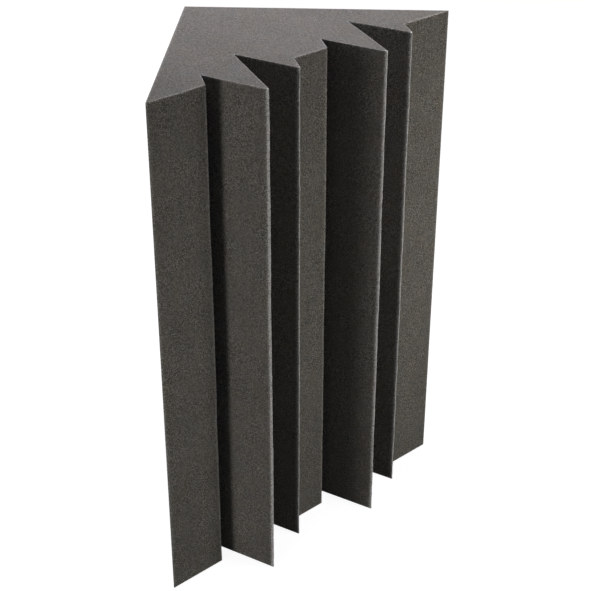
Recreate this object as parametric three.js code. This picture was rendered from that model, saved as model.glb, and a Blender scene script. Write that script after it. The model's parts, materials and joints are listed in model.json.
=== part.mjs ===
// A corner bass trap: a tall foam prism that fills the corner of a room from its two walls to the diagonal
// between them. The front that faces the room is cut into a zig-zag of tall and short ribs. Two strips of
// double-sided foam tape lie on each wall face, each still under its peel-off liner.
// Millimetres, +Z up. The left wall of the room is towards -X and its back wall towards +Y.
// The origin is the middle of the footprint's box, on the floor.
import * as THREE from "three";

// Foam block
const SIDE = 304.8; // along each wall, 12 inches
const HEIGHT = 609.6; // 24 inches
const TALL_RIB = 50.8; // how far a tall rib stands out of the diagonal
const SHORT_RIB = 25.4; // how far a short rib stands out of the diagonal
const DEEP_GROOVE = 50.8; // how far a deep groove goes in behind the diagonal
const SHALLOW_GROOVE = 25.4; // how far a shallow groove goes in behind the diagonal

// Places of the zig-zag's turns between the left end and the middle, as shares of half the diagonal
const LAND_END_SHARE = 0.343;
const SHALLOW_GROOVE_SHARE = 0.409;
const TALL_RIB_SHARE = 0.523;
const DEEP_GROOVE_SHARE = 0.7071;
const SHORT_RIB_SHARE = 0.82;
const MIDDLE_LAND_SHARE = 0.889;

// Mounting strips
const TAPE_WIDTH = 25;
const TAPE_THICKNESS = 1;
const TAPE_CORNER = 1.5; // radius of the cut corners
const TAPE_SIDE_MARGIN = 40; // foam left bare between a strip and the block's edge
const TAPE_END_MARGIN = 25; // foam left bare above and below a strip
const LINER_THICKNESS = 0.2;
const LINER_TAB = 12; // how far a liner runs on past its tape, to pull it off by
const LINER_TAB_CORNER = 5; // radius of the tab's free corners

const halfDiagonal = (SIDE * Math.SQRT2) / 2;
const stripStack = TAPE_THICKNESS + LINER_THICKNESS;
const tapeLength = HEIGHT - 2 * TAPE_END_MARGIN;

function finish(color, roughness) {
  return new THREE.MeshStandardMaterial({ color, roughness, metalness: 0 });
}

const foamFinish = finish(0x4a4745, 1);
const tapeFinish = finish(0xe9e7e0, 0.8);
const linerFinish = finish(0xd9c08a, 0.45);

// The block's outline seen from above. The room's corner edge is at 0, 0, the left wall runs along -Y from
// it and the back wall along +X.
function blockOutline() {
  const along = new THREE.Vector2(1, 1).normalize(); // from the left end to the right end
  const outward = new THREE.Vector2(1, -1).normalize(); // into the room
  const leftEnd = new THREE.Vector2(0, -SIDE);
  const rightEnd = new THREE.Vector2(SIDE, 0);
  const at = (share, out) =>
    leftEnd
      .clone()
      .addScaledVector(along, share * halfDiagonal)
      .addScaledVector(outward, out);

  const leftHalf = [
    at(LAND_END_SHARE, 0),
    at(SHALLOW_GROOVE_SHARE, -SHALLOW_GROOVE),
    at(TALL_RIB_SHARE, TALL_RIB),
    at(DEEP_GROOVE_SHARE, -DEEP_GROOVE),
    at(SHORT_RIB_SHARE, SHORT_RIB),
    at(MIDDLE_LAND_SHARE, 0),
  ];
  // The right half is the left one turned half a turn about the middle of the diagonal, so that one cut
  // through a square block gives two traps that are alike. Its ribs are the left half's grooves.
  const turned = [
    at(LAND_END_SHARE, 0),
    at(SHALLOW_GROOVE_SHARE, -SHORT_RIB),
    at(TALL_RIB_SHARE, DEEP_GROOVE),
    at(DEEP_GROOVE_SHARE, -TALL_RIB),
    at(SHORT_RIB_SHARE, SHALLOW_GROOVE),
    at(MIDDLE_LAND_SHARE, 0),
  ];
  const bothEnds = leftEnd.clone().add(rightEnd);
  const rightHalf = turned.map((p) => bothEnds.clone().sub(p)).reverse();
  return new THREE.Shape([new THREE.Vector2(0, 0), leftEnd, ...leftHalf, ...rightHalf, rightEnd]);
}

function foamBlock() {
  const geometry = new THREE.ExtrudeGeometry(blockOutline(), { depth: HEIGHT, bevelEnabled: false });
  const mesh = new THREE.Mesh(geometry, foamFinish);
  mesh.name = "foam_block";
  return mesh;
}

// A flat strip that stands on its lower end: its width is centred on 0, and it is thickness thick.
function strip(name, width, length, thickness, lowerRadius, upperRadius, material) {
  const half = width / 2;
  const outline = new THREE.Shape();
  outline.moveTo(-half + lowerRadius, 0);
  outline.lineTo(half - lowerRadius, 0);
  outline.absarc(half - lowerRadius, lowerRadius, lowerRadius, -Math.PI / 2, 0, false);
  outline.lineTo(half, length - upperRadius);
  outline.absarc(half - upperRadius, length - upperRadius, upperRadius, 0, Math.PI / 2, false);
  outline.lineTo(-half + upperRadius, length);
  outline.absarc(-half + upperRadius, length - upperRadius, upperRadius, Math.PI / 2, Math.PI, false);
  outline.lineTo(-half, lowerRadius);
  outline.absarc(-half + lowerRadius, lowerRadius, lowerRadius, Math.PI, (Math.PI * 3) / 2, false);
  const geometry = new THREE.ExtrudeGeometry(outline, { depth: thickness, bevelEnabled: false, curveSegments: 6 });
  const mesh = new THREE.Mesh(geometry, material);
  mesh.name = name;
  return mesh;
}

// One wall face's strips, in a frame whose X runs along the wall, Y up and Z out to the wall.
// direction is 1 where the foam lies towards +X from the corner edge and -1 where it lies towards -X.
function wallStrips(wall, direction) {
  const face = new THREE.Group();
  const offsets = {
    inner: TAPE_SIDE_MARGIN + TAPE_WIDTH / 2,
    outer: SIDE - TAPE_SIDE_MARGIN - TAPE_WIDTH / 2,
  };
  for (const [place, offset] of Object.entries(offsets)) {
    const tape = strip(
      `${wall}_${place}_tape`, TAPE_WIDTH, tapeLength, TAPE_THICKNESS, TAPE_CORNER, TAPE_CORNER, tapeFinish,
    );
    tape.position.set(direction * offset, TAPE_END_MARGIN, 0);
    const liner = strip(
      `${wall}_${place}_liner`, TAPE_WIDTH, tapeLength + LINER_TAB, LINER_THICKNESS, TAPE_CORNER,
      LINER_TAB_CORNER, linerFinish,
    );
    liner.position.set(direction * offset, TAPE_END_MARGIN, TAPE_THICKNESS);
    face.add(tape, liner);
  }
  return face;
}

const up = new THREE.Vector3(0, 0, 1);
const toLeftWall = new THREE.Vector3(-1, 0, 0);
const toBackWall = new THREE.Vector3(0, 1, 0);

function turnedTo(face, outward) {
  const alongWall = new THREE.Vector3().crossVectors(up, outward);
  face.setRotationFromMatrix(new THREE.Matrix4().makeBasis(alongWall, up, outward));
  return face;
}

const bassTrap = new THREE.Group();
bassTrap.add(foamBlock());
bassTrap.add(turnedTo(wallStrips("left_wall", 1), toLeftWall));
bassTrap.add(turnedTo(wallStrips("back_wall", -1), toBackWall));
bassTrap.position.set(-(SIDE - stripStack) / 2, (SIDE - stripStack) / 2, 0);

export default bassTrap;
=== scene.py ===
"""A corner bass trap: a cut block of charcoal foam, with lined mounting tape on both wall faces."""

import json
import math

import bmesh
import bpy
import numpy as np
from mathutils import Vector
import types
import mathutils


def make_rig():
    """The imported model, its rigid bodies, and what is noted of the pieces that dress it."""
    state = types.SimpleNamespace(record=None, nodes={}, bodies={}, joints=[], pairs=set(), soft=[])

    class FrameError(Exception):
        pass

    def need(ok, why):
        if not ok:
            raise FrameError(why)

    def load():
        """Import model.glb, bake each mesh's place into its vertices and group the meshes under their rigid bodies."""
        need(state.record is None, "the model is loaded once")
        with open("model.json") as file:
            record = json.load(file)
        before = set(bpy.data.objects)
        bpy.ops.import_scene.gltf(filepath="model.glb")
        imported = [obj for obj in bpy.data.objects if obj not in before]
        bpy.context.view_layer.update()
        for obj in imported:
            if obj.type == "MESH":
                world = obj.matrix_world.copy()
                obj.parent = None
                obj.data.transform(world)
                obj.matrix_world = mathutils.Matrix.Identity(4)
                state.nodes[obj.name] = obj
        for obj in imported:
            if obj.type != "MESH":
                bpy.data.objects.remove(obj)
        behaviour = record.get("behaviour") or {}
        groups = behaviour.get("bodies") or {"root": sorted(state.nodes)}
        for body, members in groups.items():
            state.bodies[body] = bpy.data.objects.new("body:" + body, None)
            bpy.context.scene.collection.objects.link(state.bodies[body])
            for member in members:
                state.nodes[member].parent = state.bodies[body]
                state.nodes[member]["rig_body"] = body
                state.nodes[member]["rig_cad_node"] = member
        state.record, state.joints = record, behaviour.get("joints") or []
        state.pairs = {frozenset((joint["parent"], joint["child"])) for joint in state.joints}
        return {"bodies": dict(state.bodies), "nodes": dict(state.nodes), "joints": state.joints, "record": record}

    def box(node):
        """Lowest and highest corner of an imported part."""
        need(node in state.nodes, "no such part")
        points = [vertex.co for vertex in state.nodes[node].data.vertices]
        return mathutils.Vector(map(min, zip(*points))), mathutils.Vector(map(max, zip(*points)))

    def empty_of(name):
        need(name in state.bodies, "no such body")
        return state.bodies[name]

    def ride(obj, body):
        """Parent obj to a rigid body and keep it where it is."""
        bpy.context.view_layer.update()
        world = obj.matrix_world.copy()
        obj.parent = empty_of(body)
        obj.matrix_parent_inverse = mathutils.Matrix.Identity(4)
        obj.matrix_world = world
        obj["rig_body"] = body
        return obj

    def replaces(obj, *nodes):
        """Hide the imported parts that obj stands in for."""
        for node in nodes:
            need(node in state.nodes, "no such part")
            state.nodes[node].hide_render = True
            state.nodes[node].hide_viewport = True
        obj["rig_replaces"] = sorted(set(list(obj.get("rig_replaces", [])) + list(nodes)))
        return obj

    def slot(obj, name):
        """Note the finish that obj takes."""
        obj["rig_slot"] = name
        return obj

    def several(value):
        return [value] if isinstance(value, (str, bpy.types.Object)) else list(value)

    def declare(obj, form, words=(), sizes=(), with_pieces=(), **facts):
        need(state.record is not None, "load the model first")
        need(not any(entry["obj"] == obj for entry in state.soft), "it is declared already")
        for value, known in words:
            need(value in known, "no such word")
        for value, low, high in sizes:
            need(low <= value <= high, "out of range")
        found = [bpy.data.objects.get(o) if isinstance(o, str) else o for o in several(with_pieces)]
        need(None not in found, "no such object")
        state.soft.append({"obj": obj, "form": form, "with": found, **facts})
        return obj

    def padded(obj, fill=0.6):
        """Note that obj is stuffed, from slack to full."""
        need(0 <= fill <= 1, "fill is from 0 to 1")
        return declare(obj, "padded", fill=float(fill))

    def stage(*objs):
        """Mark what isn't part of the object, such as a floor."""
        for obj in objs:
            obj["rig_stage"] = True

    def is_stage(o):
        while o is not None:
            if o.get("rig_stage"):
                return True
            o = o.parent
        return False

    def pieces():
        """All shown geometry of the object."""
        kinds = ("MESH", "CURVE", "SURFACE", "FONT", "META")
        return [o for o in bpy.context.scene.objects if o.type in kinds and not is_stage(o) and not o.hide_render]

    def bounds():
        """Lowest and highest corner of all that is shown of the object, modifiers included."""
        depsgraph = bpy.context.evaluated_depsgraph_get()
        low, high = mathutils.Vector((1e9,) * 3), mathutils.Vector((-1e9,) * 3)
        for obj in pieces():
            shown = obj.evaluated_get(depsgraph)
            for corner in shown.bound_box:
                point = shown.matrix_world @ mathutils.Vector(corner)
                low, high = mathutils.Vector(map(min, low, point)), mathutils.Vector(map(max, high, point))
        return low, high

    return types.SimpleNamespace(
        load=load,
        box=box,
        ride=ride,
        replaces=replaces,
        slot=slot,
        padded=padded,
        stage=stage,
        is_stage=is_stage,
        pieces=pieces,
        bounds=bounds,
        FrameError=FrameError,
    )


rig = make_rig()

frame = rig.load()
CAD_LOW, CAD_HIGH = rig.bounds()

bl_info = {
    "name": "Corner Bass Trap",
    "version": (1, 0, 0),
    "blender": (4, 5, 0),
    "location": "3D View > Sidebar > Bass Trap",
    "description": "Foam corner bass trap with lined mounting tape, built round its packed frame",
    "category": "Object",
}

MM = 0.001
BODY = "root"
SIZES_FILE = "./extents.json"
WALL_TAPES = ("left_wall_inner", "left_wall_outer", "back_wall_inner", "back_wall_outer")
WHITE = (1.0, 1.0, 1.0, 1.0)

# The zig-zag front, measured along the diagonal between the two ends of the block.
# Shares are of half that diagonal. Ribs stand in front of it, and grooves are cut behind it.
LAND_END_SHARE = 0.343
SHALLOW_GROOVE_SHARE = 0.409
TALL_RIB_SHARE = 0.523
DEEP_GROOVE_SHARE = math.sqrt(0.5)
SHORT_RIB_SHARE = 0.82
MIDDLE_LAND_SHARE = 0.889
TALL_RIB = 50.8 * MM
SHORT_RIB = 25.4 * MM
SHALLOW_GROOVE = 25.4 * MM
DEEP_GROOVE = 50.8 * MM

# Directions seen from above: along the diagonal from its left end, and out of the zig-zag front
ALONG = np.array((1, 1)) * math.sqrt(0.5)
OUTWARD = np.array((1, -1)) * math.sqrt(0.5)


class BassTrapFoam(bpy.types.PropertyGroup):
    """Sizes and colour of the foam block"""

    colour: bpy.props.FloatVectorProperty(
        name="Foam colour",
        description="Colour of the foam's cut faces",
        subtype="COLOR",
        size=3,
        min=0.0,
        max=1.0,
        default=(0.210, 0.2005, 0.187),
    )
    pore: bpy.props.FloatProperty(
        name="Pore size",
        description="Distance between neighbouring pores",
        unit="LENGTH",
        min=0.3 * MM,
        default=1.6 * MM,
    )
    tip_radius: bpy.props.FloatProperty(
        name="Tip radius",
        description="Rounding of the ribs' tips",
        unit="LENGTH",
        min=0.1 * MM,
        default=1.0 * MM,
    )
    corner_radius: bpy.props.FloatProperty(
        name="Corner radius",
        description="Rounding of all other corners, and at the bottom of each groove",
        unit="LENGTH",
        min=0.1 * MM,
        default=0.5 * MM,
    )
    rim_radius: bpy.props.FloatProperty(
        name="Rim radius",
        description="Rounding round the flat upper and lower ends",
        unit="LENGTH",
        min=0.1 * MM,
        default=0.4 * MM,
    )
    drift: bpy.props.FloatProperty(
        name="Cut drift",
        description="How far the cut faces wander from flat",
        unit="LENGTH",
        min=0.0,
        default=0.15 * MM,
    )
    fray: bpy.props.FloatProperty(
        name="Fray",
        description="How far the ribs' frayed tips wander",
        unit="LENGTH",
        min=0.0,
        default=0.14 * MM,
    )


class BassTrapTape(bpy.types.PropertyGroup):
    """Colours and sizes of the mounting tape and its liners"""

    tape_colour: bpy.props.FloatVectorProperty(
        name="Tape colour",
        description="Colour of the foam tape's edge and adhesive",
        subtype="COLOR",
        size=3,
        min=0.0,
        max=1.0,
        default=(0.78, 0.77, 0.72),
    )
    liner_colour: bpy.props.FloatVectorProperty(
        name="Liner colour",
        description="Colour of the release paper",
        subtype="COLOR",
        size=3,
        min=0.0,
        max=1.0,
        default=(0.66, 0.52, 0.30),
    )
    foot_corner: bpy.props.FloatProperty(
        name="Lower corner radius",
        description="Rounding of a liner's lower corners",
        unit="LENGTH",
        default=1.5 * MM,
    )
    tab_corner: bpy.props.FloatProperty(
        name="Tab corner radius",
        description="Rounding of a pull tab's corners",
        unit="LENGTH",
        default=5.0 * MM,
    )
    tab_curl: bpy.props.FloatProperty(
        name="Tab curl",
        description="How far a pull tab's end stands off the foam",
        unit="LENGTH",
        default=2.0 * MM,
    )
    ripple: bpy.props.FloatProperty(
        name="Liner ripple",
        description="How far a liner lifts off its tape between stuck places",
        unit="LENGTH",
        default=0.12 * MM,
    )


class BassTrapStage(bpy.types.PropertyGroup):
    """Camera, floor and studio light"""

    eye: bpy.props.FloatVectorProperty(
        name="Camera place",
        description="Where the camera stands",
        subtype="TRANSLATION",
        unit="LENGTH",
        size=3,
        default=(0.0528, -1.3405, 1.0775),
    )
    aim: bpy.props.FloatVectorProperty(
        name="Camera aim",
        description="The point in the middle of the picture",
        subtype="TRANSLATION",
        unit="LENGTH",
        size=3,
        default=(-0.0161, 0.0, 0.3154),
    )
    lens: bpy.props.FloatProperty(
        name="Focal length",
        description="Focal length on a 36 mm sensor",
        unit="CAMERA",
        default=81.0,
    )
    sky: bpy.props.FloatProperty(
        name="Sky strength",
        description="Even light from all round",
        default=0.078,
    )
    floor_colour: bpy.props.FloatVectorProperty(
        name="Floor colour",
        description="Colour of the paper floor",
        subtype="COLOR",
        size=3,
        min=0.0,
        max=1.0,
        default=(0.92, 0.92, 0.93),
    )


# Shared helpers for node trees


def add_node(tree, kind, values=None, **settings):
    """A new node with its settings and its input values, each a number, a tuple or another socket."""
    node = tree.nodes.new(kind)
    for name, value in settings.items():
        setattr(node, name, value)
    for name, value in (values or {}).items():
        if isinstance(value, bpy.types.NodeSocket):
            tree.links.new(value, node.inputs[name])
        else:
            node.inputs[name].default_value = value
    return node


def maths(tree, operation, first, second=0.0, clamp=False):
    """The result socket of one Math node."""
    values = {0: first, 1: second}
    return add_node(tree, "ShaderNodeMath", values, operation=operation, use_clamp=clamp).outputs[0]


def product(tree, first, *others):
    """All the values multiplied together, one Math node after another."""
    for other in others:
        first = maths(tree, "MULTIPLY", first, other)
    return first


def remap(tree, value, low, high, to_low, to_high):
    """value from low..high smoothly carried to to_low..to_high, held at both ends."""
    values = {"Value": value, "From Min": low, "From Max": high, "To Min": to_low, "To Max": to_high}
    return add_node(tree, "ShaderNodeMapRange", values, interpolation_type="SMOOTHSTEP").outputs[0]


def stretched(tree, place, scale):
    """The object's own coordinates, scaled by three numbers."""
    return add_node(tree, "ShaderNodeMapping", {"Vector": place, "Scale": scale}).outputs[0]


def noise(tree, place, size, detail=2.0, roughness=0.5):
    """Fractal noise from 0 to 1 whose largest lumps are about size across."""
    values = {"Vector": place, "Scale": 1 / size, "Detail": detail, "Roughness": roughness}
    return add_node(tree, "ShaderNodeTexNoise", values).outputs[0]


def cells(tree, place, spacing):
    """The outputs of a Voronoi pattern whose cells lie about spacing apart."""
    values = {"Vector": place, "Scale": 1 / spacing, "Randomness": 1.0}
    return add_node(tree, "ShaderNodeTexVoronoi", values).outputs


def scaled(colour, factors):
    """A colour with its three channels multiplied one by one, and fully opaque."""
    return (*(channel * factor for channel, factor in zip(colour, factors)), 1.0)


def blended(tree, factor, first, second):
    """The first colour carried to the second by a factor."""
    values = {"Factor": factor, 6: first, 7: second}
    return add_node(tree, "ShaderNodeMix", values, data_type="RGBA").outputs[2]


def tinted(tree, colour, factor):
    """colour multiplied by a factor, as a Vector Math scale."""
    values = {0: colour, "Scale": factor}
    return add_node(tree, "ShaderNodeVectorMath", values, operation="SCALE").outputs[0]


def bumped(tree, height, strength, distance):
    """The normals of a surface that rises by distance where height grows by 1."""
    values = {"Strength": strength, "Distance": distance, "Height": height}
    return add_node(tree, "ShaderNodeBump", values).outputs[0]


def new_material(name):
    """An empty node material and its tree."""
    material = bpy.data.materials.new(name)
    material.use_nodes = True
    material.node_tree.nodes.clear()
    return material, material.node_tree


def close_material(tree, shader):
    """Joins a shader node to the material's output."""
    add_node(tree, "ShaderNodeOutputMaterial", {"Surface": shader.outputs[0]})


def seen_directly(tree):
    """1 for rays that show the picture itself: from the camera, off a gloss or through glass."""
    path = add_node(tree, "ShaderNodeLightPath").outputs
    seen = maths(tree, "ADD", path["Is Camera Ray"], path["Is Glossy Ray"])
    return maths(tree, "ADD", seen, path["Is Transmission Ray"], clamp=True)


# Materials

# Range of a pattern's values that is spread over its effect: a wide one looks soft, a narrow one hard
WHOLE = (0.0, 1.0)
WIDE = (0.25, 0.75)
MIDDLE = (0.3, 0.7)
NARROW = (0.35, 0.65)

# Foam: sizes of its features
CLUMPS = 3.0 * MM
MOTTLING = 55.0 * MM
BLADE_MARKS = 3.0 * MM
BLADE_STRETCH = (1.0, 1.0, 0.03)
PATCHES = 26.0 * MM
FLECKS = 2.6 * MM
TUFTS = 2.2 * MM
TINTS = 20.0 * MM

# Foam: distances from a cell's middle, in shares of the cells' spacing, where its change begins and ends
PORE_REACH = (0.1, 0.75)
FLECK_REACH = (0.1, 0.35)

# Foam: shades as factors of its own colour, from a pattern's lowest values to its highest
CLUMP_SHADES = (0.82, 1.18)
MOTTLING_SHADES = (0.94, 1.06)
BLADE_SHADES = (0.97, 1.03)
# The palest shade caps the painted highlight on the frayed edges
PALEST_SHADE = 4.4

# Foam: shades that are added, from a crumb between pores to the pores (the foam's grain with painted shade in the
# pores), on a fleck, and on a frayed edge (paler fray with a painted highlight)
PORE_GRAIN_AND_PAINTED_SHADE = (0.64, -0.255)
FLECK_SHADE = 0.9
# A frayed edge's added shade is partly real fray and partly a painted highlight where the rounded tips catch the light
FRAY_AND_HIGHLIGHT_SHADE = 3.6

# Foam: how strongly its pores and their painted shade show from patch to patch, and from an upright face to a flat one
# by the height of its normal, weaker on the flat ends that the light strikes from above; how strongly its frayed edges
# and their painted highlight show from tuft to tuft; and how rare a fleck is
PATCH_STRENGTHS = (0.6, 1.2)
FLAT_END = (0.4, 0.9)
FLAT_END_STRENGTHS = (1.0, 0.6)
TUFT_STRENGTHS = (0.82, 1.0)
FLECK_CHOICE = 0.985

# Foam: roughness of a crumb and of a pore, height of its clumps over the pores' depth, and the strength
# and distance of its bump
FOAM_ROUGHNESS = (0.88, 1.0)
CLUMP_HEIGHT = 1.2
FOAM_BUMP = (0.8, 0.8 * MM)

# Foam: factors of red, green and blue in its warmer and cooler places, and on its frayed edges, whose nearly neutral
# tint is that of a painted highlight
WARM = (1.02, 1.0, 0.97)
COOL = (0.98, 1.0, 1.03)
FRAY_HIGHLIGHT_TINT = (0.99, 1.0, 1.03)


def cut_foam(settings):
    """Open-cell foam as the saw leaves it. Its colour is multiplied by one shade: pores, clumps, slow mottling and
    blade marks multiplied together, with rare pale flecks added. The pores are partly the foam's grain and partly
    painted shade. They are calmer in slow patches and on the flat ends, which the light strikes from above. The frayed
    edges are much paler, and nearly neutral: partly real fray and partly a painted highlight where the rounded tips
    catch the light."""
    material, tree = new_material("cut_foam")
    coordinates = add_node(tree, "ShaderNodeTexCoord").outputs
    place = coordinates["Object"]

    pore_depth = remap(tree, cells(tree, place, settings.pore)["Distance"], *PORE_REACH, *WHOLE)
    clumps = noise(tree, place, CLUMPS, detail=3.0, roughness=0.6)
    mottling = noise(tree, place, MOTTLING)
    blade = noise(tree, stretched(tree, place, BLADE_STRETCH), BLADE_MARKS)

    # The painted shade in the pores is weaker on the flat ends, which the light strikes from above
    facing = add_node(tree, "ShaderNodeSeparateXYZ", {0: coordinates["Normal"]}).outputs["Z"]
    strength = remap(tree, maths(tree, "ABSOLUTE", facing), *FLAT_END, *FLAT_END_STRENGTHS)
    patches = remap(tree, noise(tree, place, PATCHES), *NARROW, *PATCH_STRENGTHS)
    strength = product(tree, strength, patches)
    # Pores: the foam's grain, darkened with painted shade in the pores
    shade = product(tree, remap(tree, pore_depth, *WHOLE, *PORE_GRAIN_AND_PAINTED_SHADE), strength)
    shade = maths(tree, "ADD", shade, 1.0)
    for wear, shades in ((clumps, CLUMP_SHADES), (mottling, MOTTLING_SHADES), (blade, BLADE_SHADES)):
        shade = product(tree, shade, remap(tree, wear, *WIDE, *shades))

    flecks = cells(tree, place, FLECKS)
    chosen = add_node(tree, "ShaderNodeSeparateColor", {"Color": flecks["Color"]}).outputs[0]
    chosen = maths(tree, "GREATER_THAN", chosen, FLECK_CHOICE)
    fleck = remap(tree, flecks["Distance"], *FLECK_REACH, 1.0, 0.0)
    shade = maths(tree, "ADD", shade, product(tree, chosen, fleck, FLECK_SHADE))

    # Painted highlight: the edge attribute makes the frayed edges paler, partly as real fray and partly as light
    # caught on the rounded tips
    edge = add_node(tree, "ShaderNodeAttribute", attribute_name="edge").outputs["Fac"]
    tufts = noise(tree, place, TUFTS, roughness=0.7)
    frayed = product(tree, edge, remap(tree, tufts, *MIDDLE, *TUFT_STRENGTHS))
    paler = maths(tree, "ADD", product(tree, frayed, FRAY_AND_HIGHLIGHT_SHADE), 1.0)
    shade = maths(tree, "MINIMUM", product(tree, shade, paler), PALEST_SHADE)

    warmth = remap(tree, noise(tree, place, TINTS, detail=3.0), *MIDDLE, *WHOLE)
    colour = blended(tree, warmth, scaled(settings.colour, COOL), scaled(settings.colour, WARM))
    # The frayed edges take the nearly neutral tint of their painted highlight
    colour = blended(tree, frayed, colour, scaled([settings.colour[1]] * 3, FRAY_HIGHLIGHT_TINT))

    sunk = product(tree, pore_depth, -1.0)
    height = maths(tree, "ADD", sunk, product(tree, clumps, CLUMP_HEIGHT))
    shader = add_node(
        tree,
        "ShaderNodeBsdfPrincipled",
        {
            "Base Color": tinted(tree, colour, shade),
            "Roughness": remap(tree, pore_depth, *WHOLE, *FOAM_ROUGHNESS),
            "Specular IOR Level": 0.15,
            "Diffuse Roughness": 0.8,
            "Normal": bumped(tree, height, *FOAM_BUMP),
        },
    )
    close_material(tree, shader)
    return material


# Tape: sizes and shades of its bubbles and clouds, its roughness, and its bump's strength and distance
BUBBLES = 0.35 * MM
BUBBLE_REACH = (0.0, 0.8)
BUBBLE_SHADES = (1.03, 0.9)
TAPE_CLOUDS = 18.0 * MM
TAPE_CLOUD_SHADES = (0.95, 1.05)
TAPE_ROUGHNESS = (0.6, 0.8)
TAPE_BUMP = (0.4, 0.1 * MM)


def foam_tape(settings):
    """Closed-cell mounting tape in a soft white plastic. Its colour is multiplied by even fine bubbles
    and by slow clouds."""
    material, tree = new_material("foam_tape")
    place = add_node(tree, "ShaderNodeTexCoord").outputs["Object"]
    bubble = remap(tree, cells(tree, place, BUBBLES)["Distance"], *BUBBLE_REACH, *WHOLE)
    clouds = noise(tree, place, TAPE_CLOUDS, detail=3.0)
    shade = product(
        tree,
        remap(tree, bubble, *WHOLE, *BUBBLE_SHADES),
        remap(tree, clouds, *WIDE, *TAPE_CLOUD_SHADES),
    )
    shader = add_node(
        tree,
        "ShaderNodeBsdfPrincipled",
        {
            "Base Color": tinted(tree, tuple(settings.tape_colour), shade),
            "Roughness": remap(tree, bubble, *WHOLE, *TAPE_ROUGHNESS),
            "Specular IOR Level": 0.35,
            "Normal": bumped(tree, bubble, *TAPE_BUMP),
        },
    )
    close_material(tree, shader)
    return material


# Release paper: sizes and shades of its fibres, clouds and creases, where a crease's darker shade is painted shade in
# the fold, how near to its middle value a noise makes a crease, a crease's height over the fibres', its roughness, and
# its bump's strength and distance
FIBRES = 0.8 * MM
FIBRE_STRETCH = (1.0, 1.0, 0.15)
FIBRE_SHADES = (0.93, 1.05)
PAPER_CLOUDS = 30.0 * MM
PAPER_CLOUD_SHADES = (0.95, 1.04)
CREASES = 9.0 * MM
CREASE_STRETCH = (0.1, 0.1, 1.0)
CREASE_RANGE = 0.03
CREASE_PAINTED_SHADE = 0.93
CREASE_HEIGHT = 1.5
PAPER_ROUGHNESS = (0.38, 0.52)
PAPER_BUMP = (0.3, 0.08 * MM)


def release_paper(settings):
    """Silicone-coated paper with a slight gloss. Its colour is multiplied by long fibres, slow clouds and faint
    creases across the strip, which are darkened with painted shade. A crease runs wherever a noise passes through its
    middle value."""
    material, tree = new_material("release_paper")
    place = add_node(tree, "ShaderNodeTexCoord").outputs["Object"]
    fibres = noise(tree, stretched(tree, place, FIBRE_STRETCH), FIBRES, detail=3.0, roughness=0.6)
    clouds = noise(tree, place, PAPER_CLOUDS, detail=3.0)
    creases = noise(tree, stretched(tree, place, CREASE_STRETCH), CREASES)
    from_middle = maths(tree, "ABSOLUTE", maths(tree, "SUBTRACT", creases, 0.5))
    crease = remap(tree, from_middle, 0.0, CREASE_RANGE, 1.0, 0.0)
    shade = product(
        tree,
        remap(tree, fibres, *MIDDLE, *FIBRE_SHADES),
        remap(tree, clouds, *WIDE, *PAPER_CLOUD_SHADES),
        # Painted shade: the colour is darker along each crease
        remap(tree, crease, *WHOLE, 1.0, CREASE_PAINTED_SHADE),
    )
    height = maths(tree, "ADD", fibres, product(tree, crease, CREASE_HEIGHT))
    shader = add_node(
        tree,
        "ShaderNodeBsdfPrincipled",
        {
            "Base Color": tinted(tree, tuple(settings.liner_colour), shade),
            "Roughness": remap(tree, fibres, *MIDDLE, *PAPER_ROUGHNESS),
            "Specular IOR Level": 0.5,
            "Normal": bumped(tree, height, *PAPER_BUMP),
        },
    )
    close_material(tree, shader)
    return material


# Floor: size of its grain in metres, how much of the lamps' light is seen on it, and how much light it
# sends back to the object
FLOOR_GRAIN = 0.3
FLOOR_LIT = 0.3
FLOOR_BOUNCE = (0.02, 0.025)


def paper_floor(settings):
    """White to the camera, with a faint shadow of the object: a glow with a little lit paper added. To
    all other light it is dull, so that little comes back."""
    material, tree = new_material("paper_floor")
    place = add_node(tree, "ShaderNodeTexCoord").outputs["Object"]
    glow = add_node(tree, "ShaderNodeEmission", {"Color": (*settings.floor_colour, 1.0), "Strength": 1.0})
    lit = tinted(tree, tuple(settings.floor_colour), FLOOR_LIT)
    lit = add_node(tree, "ShaderNodeBsdfDiffuse", {"Color": lit})
    shown = add_node(tree, "ShaderNodeAddShader", {0: glow.outputs[0], 1: lit.outputs[0]})
    dull = tinted(tree, WHITE[:3], remap(tree, noise(tree, place, FLOOR_GRAIN), *WHOLE, *FLOOR_BOUNCE))
    bounce = add_node(tree, "ShaderNodeBsdfDiffuse", {"Color": dull})
    values = {0: seen_directly(tree), 1: bounce.outputs[0], 2: shown.outputs[0]}
    close_material(tree, add_node(tree, "ShaderNodeMixShader", values))
    return material


# Shapes, as whole arrays

SWELL_WAVES = 14
MERGE_DISTANCE = 1e-7
SLIVER_LENGTH = 1e-8


def unit(vectors):
    """Each row at length 1."""
    return vectors / np.linalg.norm(vectors, axis=-1, keepdims=True)


def left_normal(vectors):
    """Each flat vector turned a quarter turn anticlockwise."""
    return np.stack([-vectors[..., 1], vectors[..., 0]], -1)


def swell(points, shortest, longest, seed):
    """Smooth noise of about unit strength: a sum of cosines along random headings, with random lengths
    and phases, times the square root of two over their number."""
    rng = np.random.default_rng(seed)
    headings = unit(rng.normal(size=(SWELL_WAVES, 3)))
    lengths = rng.uniform(shortest, longest, SWELL_WAVES)
    phases = rng.uniform(0, 2 * np.pi, SWELL_WAVES)
    waves = np.cos(points @ (headings * (2 * np.pi / lengths)[:, None]).T + phases)
    return waves.sum(-1) * math.sqrt(2 / SWELL_WAVES)


def ease(value):
    """0 below 0, 1 above 1, and the smooth cubic 3x^2 - 2x^3 between."""
    value = np.clip(value, 0, 1)
    return value * value * (3 - 2 * value)


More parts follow.
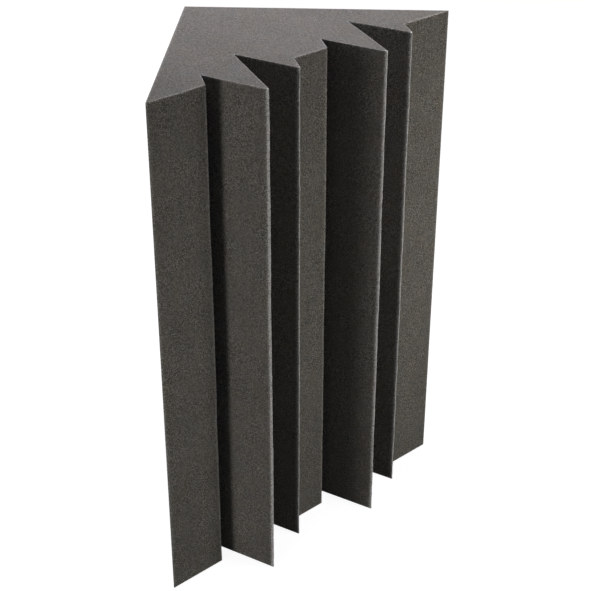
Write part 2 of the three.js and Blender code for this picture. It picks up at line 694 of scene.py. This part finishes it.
def grid_faces(rows, columns, first=0, wrap=False):
    """Four-cornered faces of a grid of points stored row by row, from the point numbered first. wrap
    joins the last column to the first."""
    index = first + np.arange(rows * columns).reshape(rows, columns)
    if wrap:
        index = np.hstack([index, index[:, :1]])
    corners = [index[:-1, :-1], index[:-1, 1:], index[1:, 1:], index[1:, :-1]]
    return np.stack(corners, -1).reshape(-1, 4)


def new_piece(name, points, faces, material, edge=None):
    """A closed mesh from whole arrays of points and four-cornered faces. Points that meet are merged."""
    mesh = bpy.data.meshes.new(name)
    mesh.from_pydata(points.tolist(), [], faces.tolist())
    if edge is not None:
        mesh.attributes.new("edge", "FLOAT", "POINT").data.foreach_set("value", edge.astype(np.float32))
    shape = bmesh.new()
    shape.from_mesh(mesh)
    bmesh.ops.remove_doubles(shape, verts=shape.verts, dist=MERGE_DISTANCE)
    bmesh.ops.dissolve_degenerate(shape, edges=shape.edges, dist=SLIVER_LENGTH)
    if any(not e.is_manifold for e in shape.edges):
        raise RuntimeError(f"{name} has an open edge")
    shape.to_mesh(mesh)
    shape.free()
    mesh.shade_smooth()
    mesh.materials.append(material)
    piece = bpy.data.objects.new(name, mesh)
    bpy.context.scene.collection.objects.link(piece)
    return piece


def turn_outwards(piece):
    """Turns a closed mesh's faces outwards."""
    shape = bmesh.new()
    shape.from_mesh(piece.data)
    bmesh.ops.recalc_face_normals(shape, faces=shape.faces)
    shape.to_mesh(piece.data)
    shape.free()


# Foam block

# Steps of its mesh: along the front, up the side, round a corner, round a rim and across a flat end
FACE_STEP = 11 * MM
ROW_STEP = 3.8 * MM
ARC_STEPS = 3
RIM_STEPS = 3
CAP_STEPS = 24

# Decimals of a metre to which places along the diagonal are told apart
PLACE_DECIMALS = 7

# The paler bands beside a corner, partly real fray and partly painted highlight: distances from it, and how much of
# its fray and highlight is left there
BAND_STEPS = (0.9 * MM, 1.9 * MM, 3.4 * MM, 5.5 * MM)
BAND_FADE = (0.85, 0.27, 0.07, 0.0)

# How frayed the flat lands' corners, the block's two end corners and its rims are, and how strong their painted
# highlight is, where a rib's tip is 1
LAND_FRAY_AND_HIGHLIGHT = 0.3
END_FRAY_AND_HIGHLIGHT = 0.22
RIM_FRAY_AND_HIGHLIGHT = 0.25

# Paler bands beside a rim, partly real fray and partly painted highlight: the height over which one fades out on the
# side, and the distance over which one fades to about a third on a flat end
RIM_GAP = 1.6 * MM
RIM_BAND = 1.3 * MM

# Shortest and longest waves of the cut's drift and of the fray, their seeds, and the distance from the
# walls and the floor over which both begin
DRIFT_WAVES = (60 * MM, 170 * MM)
DRIFT_SEEDS = (3, 5, 7)
FRAY_WAVES = (5 * MM, 18 * MM)
FRAY_SEED = 11
SEATED_DEPTH = 5 * MM


def zigzag_turns(half):
    """Turns of the front from the left end to the right one: distance along the diagonal, and distance in
    front of it. The right half is the left half turned half a turn about the diagonal's middle."""
    left = np.array([
        (LAND_END_SHARE * half, 0),
        (SHALLOW_GROOVE_SHARE * half, -SHALLOW_GROOVE),
        (TALL_RIB_SHARE * half, TALL_RIB),
        (DEEP_GROOVE_SHARE * half, -DEEP_GROOVE),
        (SHORT_RIB_SHARE * half, SHORT_RIB),
        (MIDDLE_LAND_SHARE * half, 0),
    ])
    ends = np.array([(0, 0), (2 * half, 0)])
    return np.vstack([ends[:1], left, ends[1:] - left[::-1], ends[1:]])


def directions(corners):
    """Directions of the sides before and after each corner of a closed outline, and the turn between
    them: the angle whose tangent is their cross product over their dot product."""
    before = unit(corners - np.roll(corners, 1, 0))
    after = unit(np.roll(corners, -1, 0) - corners)
    turn = np.arctan2(np.sum(left_normal(before) * after, -1), np.sum(before * after, -1))
    return before, after, turn


def rounded_corners(corners, tip_radius, corner_radius):
    """Each corner of a closed outline as an arc. With h for half the turn, the arc leaves the first side at radius x
    tan(h) before the corner, and turns about a centre that lies one radius to the inside of the turn. A rib's corner
    is first moved out by what its rounding takes away, radius x (1 / cos(h) - 1), so that its tip keeps its height.
    Gives the arcs' points, the directions before and after them, and how frayed each corner is, which also sets its
    painted highlight: not at all in a groove, a little on the flat lands and fully on the ribs."""
    before, after, turn = directions(corners)
    ribs = (corners[:, 1] > 0) & (turn < 0)
    taken = tip_radius * (1 / np.cos(turn / 2) - 1)
    corners = corners + np.where(ribs, taken, 0)[:, None] * np.array((0, 1))
    before, after, turn = directions(corners)
    radius = np.where(ribs, tip_radius, corner_radius)
    start = corners - before * (radius * np.tan(abs(turn) / 2))[:, None]
    arm = -left_normal(before) * (np.sign(turn) * radius)[:, None]
    angle = turn[:, None, None] * np.linspace(0, 1, ARC_STEPS + 1)[None, :, None]
    swung = np.cos(angle) * arm[:, None] + np.sin(angle) * left_normal(arm)[:, None]
    # A corner's fray also sets how strong its painted highlight is
    fray = np.where(ribs, 1.0, LAND_FRAY_AND_HIGHLIGHT) * (turn < 0)
    return (start - arm)[:, None] + swung, before, after, fray


def with_bands(arcs, before, after, fray):
    """Each arc with a band of points on both sides of it, over which its paler edge, partly real fray and partly
    painted highlight, fades out.
    """
    reach = np.array(BAND_STEPS)
    fade = np.array(BAND_FADE)
    lead = arcs[:, :1] - before[:, None] * reach[::-1, None]
    tail = arcs[:, -1:] + after[:, None] * reach[:, None]
    line = np.concatenate([lead, arcs, tail], 1)
    return line, fray[:, None] * np.concatenate([fade[::-1], np.ones(ARC_STEPS + 1), fade])


def read_at(along, line, fray):
    """A line's heights and its fray, read at these distances along the diagonal."""
    heights = np.interp(along, line[:, 0], line[:, 1])
    return np.stack([along, heights], 1), np.interp(along, line[:, 0], fray)


def block_outline(low, high, settings):
    """The block's outline seen from above, as matching points of its zig-zag front and its two walls, and how frayed
    they are, which also sets their painted highlight. Both are heights over the distance along the diagonal, read at
    the same distances. They meet at the outermost points of the two ends' arcs. An end's arc turns by 135 degrees, so
    its outermost point is a third of the way along it on the left, and two thirds on the right."""
    half = (high - low).length / 2
    turns = np.vstack([zigzag_turns(half), (half, -half)])
    last = len(turns) - 2
    arcs, before, after, fray = rounded_corners(turns, settings.tip_radius, settings.corner_radius)
    fray[[0, last]] = END_FRAY_AND_HIGHLIGHT
    bands = with_bands(arcs, before, after, fray)
    left_most = len(BAND_STEPS) + ARC_STEPS // 3
    right_most = len(BAND_STEPS) + ARC_STEPS * 2 // 3
    front, front_fray_and_highlight = (
        np.concatenate([rows[0, left_most:], *rows[1:last], rows[last, : right_most + 1]])
        for rows in bands
    )
    wall, wall_fray_and_highlight = (
        np.concatenate([rows[last, right_most:], rows[last + 1], rows[0, : left_most + 1]])[::-1]
        for rows in bands
    )
    run = np.concatenate([[0], np.cumsum(np.linalg.norm(np.diff(front, axis=0), axis=1))])
    samples = np.union1d(run, np.arange(0, run[-1], FACE_STEP))
    along = np.round(np.interp(samples, run, front[:, 0]), PLACE_DECIMALS)
    along = np.union1d(along, np.round(wall[:, 0], PLACE_DECIMALS))
    return read_at(along, front, front_fray_and_highlight), read_at(along, wall, wall_fray_and_highlight)


def foam_drift(points, edge, low, high, settings):
    """How far each point of the sawn foam strays: slow swells of the whole face, and quick ones out of
    the front where an edge is frayed. Both fade out where the block is seated, at the walls and the
    floor."""
    slow = np.stack([swell(points, *DRIFT_WAVES, seed) for seed in DRIFT_SEEDS], -1)
    quick = swell(points, *FRAY_WAVES, FRAY_SEED) * edge
    depth = np.minimum(points[:, 0] - low.x, high.y - points[:, 1])
    free = ease(depth / SEATED_DEPTH) * ease(points[:, 2] / SEATED_DEPTH)
    frayed = quick[:, None] * np.append(OUTWARD, 0) * settings.fray
    return (slow * settings.drift + frayed) * free[:, None]


def flat_end(row, strength, columns):
    """Points and edge strength of one flat end. It is ruled from each point of the front to the wall opposite, in
    shares (1 - cos x) / 2. Its paler edge, partly real fray and partly painted highlight, fades from both as
    exp(-distance / RIM_BAND)."""
    opposite = np.concatenate([[0], np.arange(len(row) - 1, columns - 1, -1), [columns - 1]])
    near = row[:columns]
    far = row[opposite]
    share = (1 - np.cos(np.linspace(0, np.pi, CAP_STEPS + 1)[:, None])) / 2
    points = near * (1 - share[..., None]) + far * share[..., None]
    span = np.linalg.norm(far - near, axis=-1)
    near_edge = strength[:columns] * np.exp(-share * span / RIM_BAND)
    far_edge = strength[opposite] * np.exp(-(1 - share) * span / RIM_BAND)
    return points.reshape(-1, 3), np.maximum(near_edge, far_edge).ravel()


def foam_block_arrays(low, high, settings):
    """Points, faces and edge strength of the block. The edge strength sets both its fray and its painted highlight.
    The side is the outline carried up, and drawn in along its normals by a quarter circle at both rims. A flat end
    closes it below and above."""
    (front, front_fray_and_highlight), (wall, wall_fray_and_highlight) = block_outline(low.xy, high.xy, settings)
    columns = len(front)
    ring = np.vstack([front, wall[-2:0:-1]])
    ring_fray_and_highlight = np.concatenate([front_fray_and_highlight, wall_fray_and_highlight[-2:0:-1]])
    ring = np.array(low.xy) + ring[:, :1] * ALONG + ring[:, 1:] * OUTWARD
    sides = unit(np.roll(ring, -1, 0) - ring)
    normals = unit(-left_normal(sides) - left_normal(np.roll(sides, 1, 0)))

    rim = settings.rim_radius
    quarter = np.linspace(0, np.pi / 2, RIM_STEPS + 1)
    rise = rim * (1 - np.cos(quarter))
    inset = rim * (1 - np.sin(quarter))
    plain = np.linspace(rim + RIM_GAP, high.z - rim - RIM_GAP, round((high.z - 2 * rim) / ROW_STEP))
    heights = np.concatenate([rise, plain, high.z - rise[::-1]])
    insets = np.concatenate([inset, np.zeros_like(plain), inset[::-1]])
    rims = np.concatenate([np.ones_like(rise), np.zeros_like(plain), np.ones_like(rise)])

    side = np.empty((len(heights), len(ring), 3))
    side[..., :2] = ring - insets[:, None, None] * normals
    side[..., 2] = heights[:, None]
    edge = np.maximum(ring_fray_and_highlight, RIM_FRAY_AND_HIGHLIGHT * rims[:, None])
    lower, lower_edge = flat_end(side[0], edge[0], columns)
    upper, upper_edge = flat_end(side[-1], edge[-1], columns)
    points = np.concatenate([side.reshape(-1, 3), lower, upper])
    faces = np.concatenate([
        grid_faces(len(heights), len(ring), wrap=True),
        grid_faces(CAP_STEPS + 1, columns, edge.size)[:, ::-1],
        grid_faces(CAP_STEPS + 1, columns, edge.size + len(lower)),
    ])
    edge = np.concatenate([edge.ravel(), lower_edge, upper_edge])
    return points + foam_drift(points, edge, low, high, settings), faces, edge


class BASS_TRAP_OT_foam_block(bpy.types.Operator):
    """Make the sawn foam block in place of its plain solid"""

    bl_idname = "bass_trap.foam_block"
    bl_label = "Foam Block"

    def execute(self, context):
        settings = context.scene.bass_trap_foam
        low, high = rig.box("foam_block")
        points, faces, edge = foam_block_arrays(low, high, settings)
        block = new_piece("sawn_foam_block", points, faces, cut_foam(settings), edge)
        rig.ride(block, BODY)
        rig.replaces(block, "foam_block")
        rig.slot(block, "foam")
        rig.padded(block, fill=1.0)
        return {"FINISHED"}


# Tape and liners


class BASS_TRAP_OT_mounting_tape(bpy.types.Operator):
    """Finish the four strips of mounting tape"""

    bl_idname = "bass_trap.mounting_tape"
    bl_label = "Mounting Tape"

    def execute(self, context):
        material = foam_tape(context.scene.bass_trap_tape)
        for name in WALL_TAPES:
            mesh = frame["nodes"][name + "_tape"].data
            mesh.materials.clear()
            mesh.materials.append(material)
        return {"FINISHED"}


# Rows of a liner's mesh along its straight part and round its lower and upper corners, and its columns
LINER_ROWS = 260
FOOT_ROWS = 7
TAB_ROWS = 12
LINER_COLUMNS = 10

# Shortest and longest ripple, the first liner's seed, and the length of the pull tab
RIPPLE_WAVES = (25 * MM, 90 * MM)
RIPPLE_SEED = 21
TAB_LENGTH = 12 * MM


def corner_draw(distance, radius):
    """How far a strip's side is drawn in at this distance from its rounded end: radius minus the height
    of a quarter circle."""
    near = np.clip(radius - distance, 0, radius)
    return radius - np.sqrt(radius * radius - near * near)


def liner_arrays(low, high, settings, seed):
    """Points and faces of one liner. A thin rectangle is carried up the strip, narrowed at its rounded
    ends. Both its faces follow one height over the tape: the ripple times (1 + swell) / 2, held from 0 to
    2, and a curl that grows with the square of the distance along the pull tab."""
    on_left_wall = high.x - low.x < high.y - low.y
    across, out = (1, 0) if on_left_wall else (0, 1)
    rise = np.concatenate([
        low.z + np.linspace(0, settings.foot_corner, FOOT_ROWS + 1)[:-1],
        np.linspace(low.z + settings.foot_corner, high.z - settings.tab_corner, LINER_ROWS),
        high.z - settings.tab_corner * np.cos(np.linspace(0, np.pi / 2, TAB_ROWS + 1)[1:]),
    ])
    draw = corner_draw(rise - low.z, settings.foot_corner)
    draw = draw + corner_draw(high.z - rise, settings.tab_corner)
    half_width = (high[across] - low[across]) / 2 - draw
    middle = (high[across] + low[across]) / 2
    sheet = np.empty((len(rise), LINER_COLUMNS, 3))
    sheet[..., across] = middle + half_width[:, None] * np.linspace(-1, 1, LINER_COLUMNS)
    sheet[..., out] = 0
    sheet[..., 2] = rise[:, None]
    lift = settings.ripple * np.clip(0.5 + 0.5 * swell(sheet, *RIPPLE_WAVES, seed), 0, 2)
    tab = np.clip((rise - (high.z - TAB_LENGTH)) / TAB_LENGTH, 0, 1)
    lift = lift + settings.tab_curl * tab[:, None] ** 2

    under = sheet.copy()
    over = sheet.copy()
    under[..., out] = high[out] - lift if on_left_wall else low[out] + lift
    over[..., out] = low[out] - lift if on_left_wall else high[out] + lift
    ring = np.concatenate([over, under[:, ::-1]], 1)
    ends = np.stack([over[[0, -1]], under[[0, -1]]], 1)
    points = np.concatenate([ring.reshape(-1, 3), ends.reshape(-1, 3)])
    first = ring.size // 3
    faces = np.concatenate([
        grid_faces(len(rise), 2 * LINER_COLUMNS, wrap=True),
        grid_faces(2, LINER_COLUMNS, first)[:, ::-1],
        grid_faces(2, LINER_COLUMNS, first + 2 * LINER_COLUMNS),
    ])
    return points, faces


class BASS_TRAP_OT_tape_liners(bpy.types.Operator):
    """Make the four peel-off liners in place of their plain solids"""

    bl_idname = "bass_trap.tape_liners"
    bl_label = "Tape Liners"

    def execute(self, context):
        settings = context.scene.bass_trap_tape
        material = release_paper(settings)
        for seed, name in enumerate(WALL_TAPES, RIPPLE_SEED):
            node = name + "_liner"
            points, faces = liner_arrays(*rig.box(node), settings, seed)
            liner = new_piece(name + "_release_paper", points, faces, material)
            turn_outwards(liner)
            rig.ride(liner, BODY)
            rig.replaces(liner, node)
            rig.slot(liner, "liner")
        return {"FINISHED"}


# Stage

FLOOR_HALF = 30.0
SENSOR = 36.0
NEAREST_SEEN = 0.05
FARTHEST_SEEN = 200.0
SKY_COLOUR = (0.96, 1.0, 1.03, 1.0)
LAMP_AIM = (0.0, 0.0, 0.3)

# Each lamp's name, its direction from the front towards +X and its height over the floor in degrees, its
# distance and radius in metres, its watts and its colour
LAMPS = (
    ("key", -39.5, 10.0, 1.4, 0.22, 4.7, (1.0, 0.965, 0.9)),
    ("right_wide", 80.0, 15.0, 0.9, 0.2, 2.4, (1.0, 0.965, 0.87)),
    ("right_near", 72.0, 13.0, 0.6, 0.12, 0.66, (1.0, 0.965, 0.87)),
    ("top_light", 175.0, 84.0, 0.92, 0.06, 3.2, (0.985, 0.945, 1.0)),
    ("back_fill", -150.0, 45.0, 3.0, 0.6, 41.0, (1.0, 1.0, 1.0)),
)


def aimed(thing, place, target):
    """Puts a lamp or camera at a place, looking at its target with its head up."""
    thing.location = place
    thing.rotation_mode = "QUATERNION"
    thing.rotation_quaternion = (Vector(target) - Vector(place)).to_track_quat("-Z", "Y")


def add_lamps():
    """Round studio lamps at their angles and distances from the middle of the block."""
    for name, azimuth, height, distance, radius, watts, colour in LAMPS:
        lamp = bpy.data.lights.new(name, "AREA")
        lamp.shape = "DISK"
        lamp.size = 2 * radius
        lamp.energy = watts
        lamp.color = colour
        thing = bpy.data.objects.new(name, lamp)
        thing.visible_camera = False
        bpy.context.scene.collection.objects.link(thing)
        a = math.radians(azimuth)
        e = math.radians(height)
        direction = Vector((math.sin(a) * math.cos(e), -math.cos(a) * math.cos(e), math.sin(e)))
        aimed(thing, Vector(LAMP_AIM) + direction * distance, LAMP_AIM)


def add_sky(strength):
    """A white surround for what is seen, and a dimmer even light on the object."""
    world = bpy.data.worlds.new("studio")
    world.use_nodes = True
    tree = world.node_tree
    tree.nodes.clear()
    light = add_node(tree, "ShaderNodeBackground", {"Color": SKY_COLOUR, "Strength": strength})
    shown = add_node(tree, "ShaderNodeBackground", {"Color": WHITE, "Strength": 1.0})
    values = {0: seen_directly(tree), 1: light.outputs[0], 2: shown.outputs[0]}
    both = add_node(tree, "ShaderNodeMixShader", values)
    add_node(tree, "ShaderNodeOutputWorld", {"Surface": both.outputs[0]})
    bpy.context.scene.world = world


def add_floor(settings):
    """One large flat sheet at the height that the block stands on."""
    corners = [Vector((x, y, 0.0)) * FLOOR_HALF for x, y in ((-1, -1), (1, -1), (1, 1), (-1, 1))]
    mesh = bpy.data.meshes.new("floor")
    mesh.from_pydata(corners, [], [(0, 1, 2, 3)])
    mesh.materials.append(paper_floor(settings))
    floor = bpy.data.objects.new("floor", mesh)
    bpy.context.scene.collection.objects.link(floor)
    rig.stage(floor)


def add_camera(settings):
    """The camera at its place, with no shift and no depth of field."""
    data = bpy.data.cameras.new("camera")
    data.sensor_width = SENSOR
    data.lens = settings.lens
    data.clip_start = NEAREST_SEEN
    data.clip_end = FARTHEST_SEEN
    camera = bpy.data.objects.new("camera", data)
    bpy.context.scene.collection.objects.link(camera)
    aimed(camera, settings.eye, settings.aim)
    bpy.context.scene.camera = camera


class BASS_TRAP_OT_stage(bpy.types.Operator):
    """Make the floor, the studio light and the camera"""

    bl_idname = "bass_trap.stage"
    bl_label = "Stage"

    def execute(self, context):
        settings = context.scene.bass_trap_stage
        add_floor(settings)
        add_sky(settings.sky)
        add_lamps()
        add_camera(settings)
        context.scene.view_settings.view_transform = "Standard"
        return {"FINISHED"}


class VIEW3D_PT_bass_trap(bpy.types.Panel):
    """Lists the trap's pieces with their settings"""

    bl_label = "Corner Bass Trap"
    bl_space_type = "VIEW_3D"
    bl_region_type = "UI"
    bl_category = "Bass Trap"

    def draw(self, context):
        scene = context.scene
        for operator, group in (
            (BASS_TRAP_OT_stage, scene.bass_trap_stage),
            (BASS_TRAP_OT_foam_block, scene.bass_trap_foam),
            (BASS_TRAP_OT_mounting_tape, None),
            (BASS_TRAP_OT_tape_liners, scene.bass_trap_tape),
        ):
            self.layout.operator(operator.bl_idname)
            for name in group.bl_rna.properties.keys() if group else ():
                if name not in ("rna_type", "name"):
                    self.layout.prop(group, name)


SETTINGS = {
    "bass_trap_foam": BassTrapFoam,
    "bass_trap_tape": BassTrapTape,
    "bass_trap_stage": BassTrapStage,
}
CLASSES = (
    *SETTINGS.values(),
    BASS_TRAP_OT_stage,
    BASS_TRAP_OT_foam_block,
    BASS_TRAP_OT_mounting_tape,
    BASS_TRAP_OT_tape_liners,
    VIEW3D_PT_bass_trap,
)


def register():
    """Registers the classes, and gives the scene one group of settings for each part of the work."""
    for cls in CLASSES:
        bpy.utils.register_class(cls)
    for name, group in SETTINGS.items():
        setattr(bpy.types.Scene, name, bpy.props.PointerProperty(type=group))


def unregister():
    """Takes both away again."""
    for name in SETTINGS:
        delattr(bpy.types.Scene, name)
    for cls in reversed(CLASSES):
        bpy.utils.unregister_class(cls)


def main():
    """Makes the stage and the pieces, and writes the size of the frame and of the finished model."""
    register()
    bpy.ops.bass_trap.stage()
    bpy.ops.bass_trap.foam_block()
    bpy.ops.bass_trap.mounting_tape()
    bpy.ops.bass_trap.tape_liners()
    low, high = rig.bounds()
    sizes = {
        "cad": [list(CAD_LOW), list(CAD_HIGH)],
        "visual": [list(low), list(high)],
    }
    with open(SIZES_FILE, "w") as file:
        json.dump(sizes, file, indent=1)


if __name__ == "__main__":
    main()
